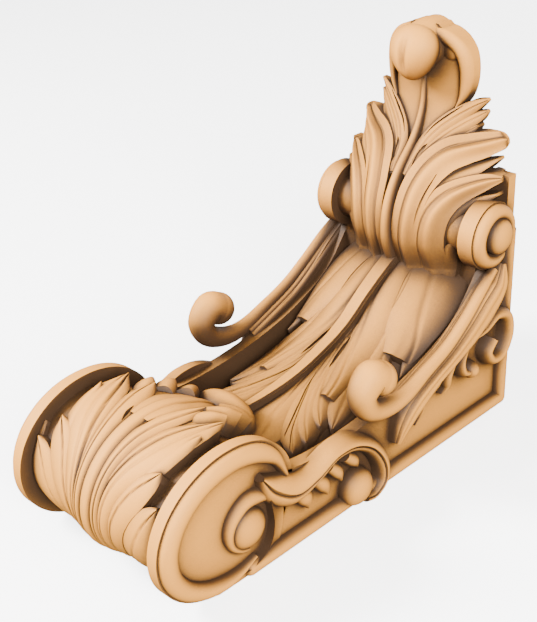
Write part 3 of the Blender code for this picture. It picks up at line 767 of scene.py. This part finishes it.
# Leaf that lies on the sweep
def makeSweepLeaf():
    middle = [
        strip(onSweep, [(0.5, 0.0), (1.4, 0.0), (2.3, 0.0), (3.2, 0.0), (4.1, 0.0)],
              [0.13, 0.12, 0.10, 0.085, 0.05], shares(sweep["ribLift"], 1, 1, 0.97, 0.85, 0.60),
              flatTop, steps=120, strips=28),
    ]
    lobes = (
        # the lobe beside the small volute
        ([(0.5, 0.72), (0.95, 0.745), (1.35, 0.77), (1.65, 0.80), (1.87, 0.84), (2.02, 0.86)],
         [0.45, 0.415, 0.375, 0.325, 0.250, 0.185], [0.185, 0.185, 0.185, 0.188, 0.192, 0.196],
         grooved(domed, (-0.42, 0.80, 0.09, 0.10), (0.10, 0.10, 0.04, 0.22))),
        # its small second tip
        ([(1.70, 0.96), (1.95, 0.995), (2.16, 1.03)], [0.12, 0.09, 0.02], [0.150, 0.140, 0.125], domed),
        # the long lobe that ends above the knob, as two tips with a step between them
        ([(0.5, 0.20), (1.0, 0.22), (1.5, 0.28), (1.95, 0.37), (2.35, 0.46), (2.70, 0.54), (2.98, 0.585)],
         [0.12, 0.165, 0.205, 0.230, 0.210, 0.155, 0.105],
         [0.170, 0.170, 0.170, 0.172, 0.174, 0.178, 0.182],
         grooved(domed, (-1.10, 0.10, 0.07, 0.16))),
        ([(1.5, 0.52), (1.95, 0.60), (2.35, 0.68), (2.70, 0.76), (2.98, 0.84), (3.16, 0.90), (3.27, 0.935)],
         [0.05, 0.13, 0.210, 0.240, 0.200, 0.110, 0.02],
         [0.140, 0.150, 0.156, 0.156, 0.152, 0.146, 0.140],
         grooved(domed, (-0.30, -0.10, 0.06, 0.14), (0.55, 0.55, 0.04, 0.10))),
        # the folds at the foot, from the outside to the rib
        ([(1.9, 0.16), (2.4, 0.26), (2.8, 0.41), (3.1, 0.57), (3.26, 0.70), (3.35, 0.81)],
         [0.10, 0.17, 0.23, 0.22, 0.15, 0.02], [0.140, 0.136, 0.132, 0.128, 0.124, 0.118],
         grooved(swelling, (-0.3, 0.2, 0.05, 0.08))),
        ([(2.1, 0.14), (2.7, 0.27), (3.1, 0.43), (3.42, 0.63), (3.58, 0.78), (3.67, 0.88)],
         [0.10, 0.18, 0.23, 0.21, 0.14, 0.02], [0.136, 0.130, 0.124, 0.118, 0.112, 0.104],
         grooved(swelling, (-0.3, 0.2, 0.05, 0.08))),
        ([(2.3, 0.12), (2.9, 0.25), (3.3, 0.41), (3.65, 0.64), (3.82, 0.80), (3.91, 0.91)],
         [0.08, 0.16, 0.21, 0.19, 0.12, 0.02], [0.132, 0.124, 0.114, 0.106, 0.100, 0.092],
         grooved(swelling, (-0.3, 0.2, 0.04, 0.08))),
        ([(1.9, 0.08), (2.5, 0.10), (3.0, 0.15), (3.5, 0.26), (3.9, 0.38), (4.18, 0.50)],
         [0.08, 0.12, 0.17, 0.24, 0.27, 0.20], [0.130, 0.126, 0.120, 0.116, 0.112, 0.108],
         grooved(swelling, (-0.45, 0.30, 0.10, 0.10))),
    )
    cuts = (
        ([(0.92, 0.345), (1.12, 0.385), (1.34, 0.430), (1.56, 0.460)],
         [0.003, 0.026, 0.024, 0.003], [0.138] * 4),
        ([(2.06, 0.185), (2.22, 0.205), (2.42, 0.235), (2.58, 0.262)],
         [0.004, 0.028, 0.024, 0.004], [0.105] * 4),
        ([(2.74, 0.175), (3.0, 0.26), (3.3, 0.40), (3.65, 0.575), (3.95, 0.73)],
         [0.003, 0.009, 0.010, 0.009, 0.008], [0.080] * 5),
        ([(2.86, 0.215), (3.12, 0.34), (3.40, 0.485), (3.70, 0.665), (3.92, 0.86)],
         [0.003, 0.006, 0.006, 0.006, 0.006], [0.080] * 5),
    )
    sides = carve(onSweep, lobes, steps=130, strips=56)
    finishPiece("sweepLeaf", middle, sides, incise(onSweep, cuts))


# Leaf wrapped over the large roll, with the tongue that runs down behind it
def makeRollLeaf():
    size = {
        "fullShare": 0.85,      # full height of a lobe, as a share of the step from roll to disc edge
        "tongueEnd": (0, 4.26, 1.19),
        "tongueHalves": (0.50, 0.30, 0.33),
    }
    full = largeVolute["long"] * (1 - largeVolute["coreShare"]) * size["fullShare"]
    middle = [
        strip(onRoll, [(-62, 0.0), (-20, 0.0), (40, 0.0), (90, 0.0), (128, 0.0), (150, 0.0), (164, 0.0)],
              [0.09, 0.095, 0.105, 0.115, 0.12, 0.10, 0.08],
              shares(full, 0.70, 0.98, 1.04, 1.06, 1.22, 1.80, 2.4),
              grooved(domed, (0.0, 0.0, 0.05, 0.35)), steps=160, strips=28),
        strip(onRoll, [(84, 0.0), (112, 0.0), (130, 0.0), (148, 0.0), (160, 0.0), (168, 0.0)],
              [0.40, 0.60, 0.54, 0.44, 0.34, 0.20],
              shares(full, 0.9, 0.93, 1.05, 1.55, 2.05, 2.35),
              grooved(domed, (-0.45, -0.62, 0.06, 0.05), (0.45, 0.62, 0.06, 0.05)), steps=90, strips=56),
        ball(place(*size["tongueEnd"]), size["tongueHalves"]),
    ]
    lobes = (  # from the rib to the side
        ([(-60, 0.14), (-10, 0.15), (30, 0.17), (60, 0.21), (82, 0.27), (100, 0.34), (114, 0.40),
          (121, 0.44)],
         [0.06, 0.075, 0.09, 0.12, 0.15, 0.155, 0.10, 0.02],
         shares(full, 0.65, 0.90, 0.98, 1, 1, 1.06, 1.25, 1.40),
         grooved(domed, (0.10, 0.40, 0.10, 0.12))),
        ([(-58, 0.22), (-10, 0.25), (20, 0.31), (42, 0.42), (62, 0.55), (82, 0.66), (100, 0.75),
          (112, 0.82), (117, 0.85)],
         [0.07, 0.10, 0.14, 0.20, 0.265, 0.275, 0.200, 0.09, 0.02],
         shares(full, 0.55, 0.76, 0.84, 0.88, 0.90, 0.92, 1.00, 1.20, 1.30),
         grooved(domed, (-0.58, -0.25, 0.16, 0.09), (-0.10, 0.30, 0.09, 0.12))),
        ([(30, 0.62), (52, 0.74), (74, 0.82), (88, 0.87), (94, 0.90)], [0.10, 0.13, 0.12, 0.07, 0.02],
         shares(full, 0.60, 0.72, 0.82, 0.95, 1.05), domed),
        ([(-54, 0.33), (-8, 0.42), (14, 0.52), (33, 0.66), (46, 0.80), (54, 0.90)],
         [0.09, 0.15, 0.19, 0.215, 0.15, 0.02], shares(full, 0.45, 0.60, 0.66, 0.70, 0.82, 0.95),
         grooved(domed, (-0.35, 0.10, 0.12, 0.08))),
        ([(-52, 0.56), (-24, 0.70), (-2, 0.83), (14, 0.92), (25, 1.01), (32, 1.09)],
         [0.15, 0.22, 0.255, 0.215, 0.12, 0.02], shares(full, 0.34, 0.46, 0.52, 0.56, 0.66, 0.78),
         grooved(domed, (-0.30, 0.20, 0.12, 0.08))),
        ([(-40, 0.98), (0, 1.10), (28, 1.15), (44, 1.17)], [0.09, 0.08, 0.06, 0.02],
         shares(full, 0.22, 0.30, 0.38, 0.45), domed),
    )
    scallops = (
        ([(112, 0.42), (122, 0.56), (130, 0.67)], [0.17, 0.17, 0.10],
         shares(full, 1.0, 1.35, 1.40), swelling),
        ([(128, 0.36), (138, 0.50), (146, 0.60)], [0.17, 0.17, 0.10],
         shares(full, 1.3, 1.80, 1.90), swelling),
        ([(144, 0.26), (154, 0.40), (162, 0.50)], [0.17, 0.17, 0.10],
         shares(full, 1.8, 2.40, 2.50), swelling),
    )
    cuts = (
        ([(74, 0.13), (82, 0.17), (90, 0.20)], [0.004, 0.020, 0.004], [full * 0.60] * 3),
    )
    sides = carve(onRoll, lobes, steps=130, strips=52) + carve(onRoll, scallops, steps=50, strips=32)
    finishPiece("rollLeaf", middle, sides, incise(onRoll, cuts))


# Leaf that stands against the wall
def makeWallLeaf():
    behind = -bracket["trim"]
    size = {
        "bud": (0, 0.50, 5.02),
        "budHalves": (0.330, 0.310, 0.365),
        "neck": ((0, behind, 5.087), (0, 0.25, 5.10), (0, 0.52, 5.087)),
        "neckRadii": [0.329, 0.324, 0.271],
        "shoulder": ((0.40, behind, 5.08), (0.40, 0.10, 5.08), (0.38, 0.22, 5.08)),
        "shoulderRadii": [0.190, 0.186, 0.165],
        "shoulderEnd": (0.165, 0.080, 0.165),
    }
    middle = [
        # rib
        strip(onWall, [(2.1, 0.0), (2.7, 0.0), (3.3, 0.0), (3.9, 0.0), (4.3, 0.0), (4.7, 0.0)],
              [0.085, 0.080, 0.068, 0.055, 0.042, 0.03],
              [0.150, 0.156, 0.150, 0.105, 0.075, 0.050], rounded, steps=140, strips=28),
        # broad top
        strip(onWall, [(3.5, 0.0), (4.0, 0.0), (4.4, 0.0), (4.7, 0.0), (5.0, 0.0), (5.22, 0.0), (5.38, 0.0)],
              [0.16, 0.24, 0.54, 0.66, 0.62, 0.40, 0.20], [0.022, 0.027, 0.033, 0.044, 0.056, 0.056, 0.044],
              dished, steps=110, strips=56),
        # strip across the foot
        strip(onWall, [(1.9, 0.0), (2.2, 0.0), (2.6, 0.0)], [0.86, 0.84, 0.70], [0.02, 0.02, 0.02],
              domed, steps=20, strips=40),
        bud(place(*size["bud"]), size["budHalves"]),
        bar([place(*point) for point in size["neck"]], size["neckRadii"], sides=60, steps=24),
    ]
    lobes = (
        # rolled rim of the broad top
        ([(4.30, 0.50), (4.46, 0.575), (4.64, 0.61), (4.84, 0.61), (5.02, 0.565), (5.15, 0.46),
          (5.23, 0.31), (5.25, 0.12)],
         [0.02, 0.055, 0.080, 0.090, 0.095, 0.095, 0.095, 0.090],
         [0.070, 0.095, 0.115, 0.130, 0.140, 0.145, 0.150, 0.150], rounded),
        # lower finger with its under strip
        ([(2.1, 0.62), (2.5, 0.585), (2.78, 0.60), (3.02, 0.66), (3.20, 0.78), (3.32, 0.94),
          (3.41, 1.13), (3.45, 1.27)],
         [0.240, 0.230, 0.225, 0.215, 0.190, 0.150, 0.100, 0.03],
         [0.110, 0.122, 0.140, 0.155, 0.160, 0.150, 0.115, 0.070],
         grooved(finger, (-0.52, -0.40, 0.09, 0.06))),
        ([(2.45, 0.70), (2.80, 0.76), (3.02, 0.88), (3.16, 1.08), (3.27, 1.27)],
         [0.06, 0.085, 0.085, 0.075, 0.02], [0.070, 0.060, 0.052, 0.050, 0.044], domed),
        # upper finger with its shoulder and under strip
        ([(2.1, 0.27), (2.6, 0.275), (3.0, 0.31), (3.28, 0.35), (3.52, 0.45), (3.68, 0.60),
          (3.77, 0.80), (3.84, 1.00), (3.90, 1.14), (3.92, 1.21)],
         [0.190, 0.190, 0.205, 0.220, 0.235, 0.230, 0.200, 0.170, 0.115, 0.04],
         [0.118, 0.130, 0.150, 0.170, 0.190, 0.205, 0.205, 0.190, 0.150, 0.110],
         grooved(finger, (-0.40, -0.36, 0.10, 0.055))),
        ([(3.25, 0.55), (3.42, 0.72), (3.54, 0.92), (3.68, 1.14)], [0.07, 0.095, 0.085, 0.02],
         [0.070, 0.062, 0.055, 0.044], domed),
        # small curled lobe at the foot
        ([(2.1, 0.76), (2.32, 0.80), (2.52, 0.87), (2.66, 0.96)], [0.13, 0.12, 0.09, 0.02],
         [0.067, 0.067, 0.060, 0.050], domed),
        # teeth below the broad top
        ([(3.40, 0.12), (3.72, 0.17), (3.96, 0.30), (4.18, 0.52), (4.34, 0.72), (4.44, 0.88)],
         [0.08, 0.10, 0.105, 0.105, 0.08, 0.02], [0.075, 0.085, 0.092, 0.096, 0.090, 0.080],
         grooved(domed, (0.10, 0.10, 0.12, 0.12))),
        ([(3.40, 0.14), (3.68, 0.24), (3.90, 0.42), (4.08, 0.62), (4.20, 0.78), (4.28, 0.88)],
         [0.08, 0.10, 0.110, 0.105, 0.075, 0.02], [0.066, 0.074, 0.078, 0.078, 0.070, 0.062],
         grooved(domed, (0.10, 0.10, 0.12, 0.12))),
        ([(3.36, 0.16), (3.62, 0.28), (3.82, 0.46), (3.97, 0.66), (4.08, 0.80)],
         [0.08, 0.10, 0.110, 0.090, 0.02], [0.058, 0.062, 0.064, 0.060, 0.052],
         grooved(domed, (0.10, 0.10, 0.12, 0.12))),
    )
    cuts = (
        ([(3.50, 0.165), (3.60, 0.180), (3.70, 0.205), (3.78, 0.250)],
         [0.003, 0.026, 0.026, 0.003], [0.055] * 4),
        ([(2.85, 0.435), (3.05, 0.462), (3.25, 0.505), (3.45, 0.575)],
         [0.003, 0.011, 0.010, 0.003], [0.085] * 4),
        ([(3.86, 0.165), (4.02, 0.265), (4.20, 0.445), (4.34, 0.600)],
         [0.003, 0.012, 0.014, 0.004], [0.045] * 4),
        ([(2.57, 0.81), (2.66, 0.85), (2.76, 0.91)], [0.004, 0.012, 0.004], [0.02] * 3),
    )
    shoulder = [place(*point) for point in size["shoulder"]]
    sides = carve(onWall, lobes, steps=130, strips=44) + [
        bar(shoulder, size["shoulderRadii"], sides=40, steps=16),
        ball(shoulder[-1], size["shoulderEnd"]),
    ]
    finishPiece("wallLeaf", middle, sides, incise(onWall, cuts))


makeBody()
makeVolutes()
makeSideScrolls()
makeSweepLeaf()
makeRollLeaf()
makeWallLeaf()


# Pale floor, which lights nothing, and a soft white world that the camera sees brighter
def makeStage():
    stage = {
        "floorSize": 60.0,
        "floorGap": 0.0005,  # floor below the base
        "floorTone": (0.92, 0.92, 0.92, 1),
        "floorRoughness": 0.9,
        "floorGlow": 3.5,
        "white": (1, 1, 1, 1),
        "worldStrength": 0.16,
        "worldSeen": 5.0,
    }
    bm = bmesh.new()
    bmesh.ops.create_grid(bm, x_segments=1, y_segments=1, size=stage["floorSize"] / 2)
    bmesh.ops.translate(bm, vec=(0, 0, baseHeight - stage["floorGap"]), verts=bm.verts)
    floor = newObject("paleFloor", bm)
    bpy.context.scene.collection.objects.link(floor)
    tone = bpy.data.materials.new("paleFloor")
    tone.use_nodes = True
    sockets = tone.node_tree.nodes["Principled BSDF"].inputs
    sockets["Base Color"].default_value = stage["floorTone"]
    sockets["Roughness"].default_value = stage["floorRoughness"]
    sockets["Emission Color"].default_value = stage["white"]
    sockets["Emission Strength"].default_value = stage["floorGlow"]
    floor.data.materials.append(tone)
    floor.visible_diffuse = False
    floor.visible_glossy = False
    floor.visible_shadow = False

    world = bpy.data.worlds.new("softWhite")
    world.use_nodes = True
    nodes, links = world.node_tree.nodes, world.node_tree.links
    nodes["Background"].inputs["Color"].default_value = stage["white"]
    seen = nodes.new("ShaderNodeLightPath")
    strength = mathNode(nodes, "MULTIPLY_ADD", [(1, stage["worldSeen"]), (2, stage["worldStrength"])])
    links.new(seen.outputs["Is Camera Ray"], strength.inputs[0])
    links.new(strength.outputs[0], nodes["Background"].inputs["Strength"])
    bpy.context.scene.world = world


def makeLights():
    aim = Vector((0, -0.12, 0))
    lights = {  # where each stands, its width and its power
        "key": (Vector((-0.95, -1.05, 1.0)), 0.5, 100),
        "fill": (Vector((1.1, -0.85, 0.7)), 0.8, 85),
        "rear": (Vector((-0.2, 1.5, 0.2)), 1.0, 16),
    }
    for name, (spot, size, power) in lights.items():
        light = bpy.data.lights.new(name, "AREA")
        light.size = size
        light.energy = power
        lamp = bpy.data.objects.new(name, light)
        lamp.location = spot
        lamp.rotation_euler = (aim - spot).to_track_quat("-Z", "Y").to_euler()
        bpy.context.scene.collection.objects.link(lamp)


def makeCamera():
    view = {
        "place": Vector((0.4137, -0.5606, 0.3276)),
        "target": Vector((-0.0950, -0.0584, -0.0441)),
        "roll": -0.0392,
        "lens": 66.8,
        "sensor": 36,
    }
    forward = (view["target"] - view["place"]).normalized()
    right = forward.cross(Vector((0, 0, 1))).normalized()
    up = right.cross(forward)
    turnedRight = right * cos(view["roll"]) + up * sin(view["roll"])
    turnedUp = up * cos(view["roll"]) - right * sin(view["roll"])
    camera = bpy.data.objects.new("camera", bpy.data.cameras.new("camera"))
    camera.data.lens = view["lens"]
    camera.data.sensor_width = view["sensor"]
    camera.matrix_world = Matrix((
        (turnedRight.x, turnedUp.x, -forward.x, view["place"].x),
        (turnedRight.y, turnedUp.y, -forward.y, view["place"].y),
        (turnedRight.z, turnedUp.z, -forward.z, view["place"].z),
        (0, 0, 0, 1),
    ))
    bpy.context.scene.collection.objects.link(camera)
    bpy.context.scene.camera = camera


makeStage()
makeLights()
makeCamera()
print("stage, lights and camera ready")
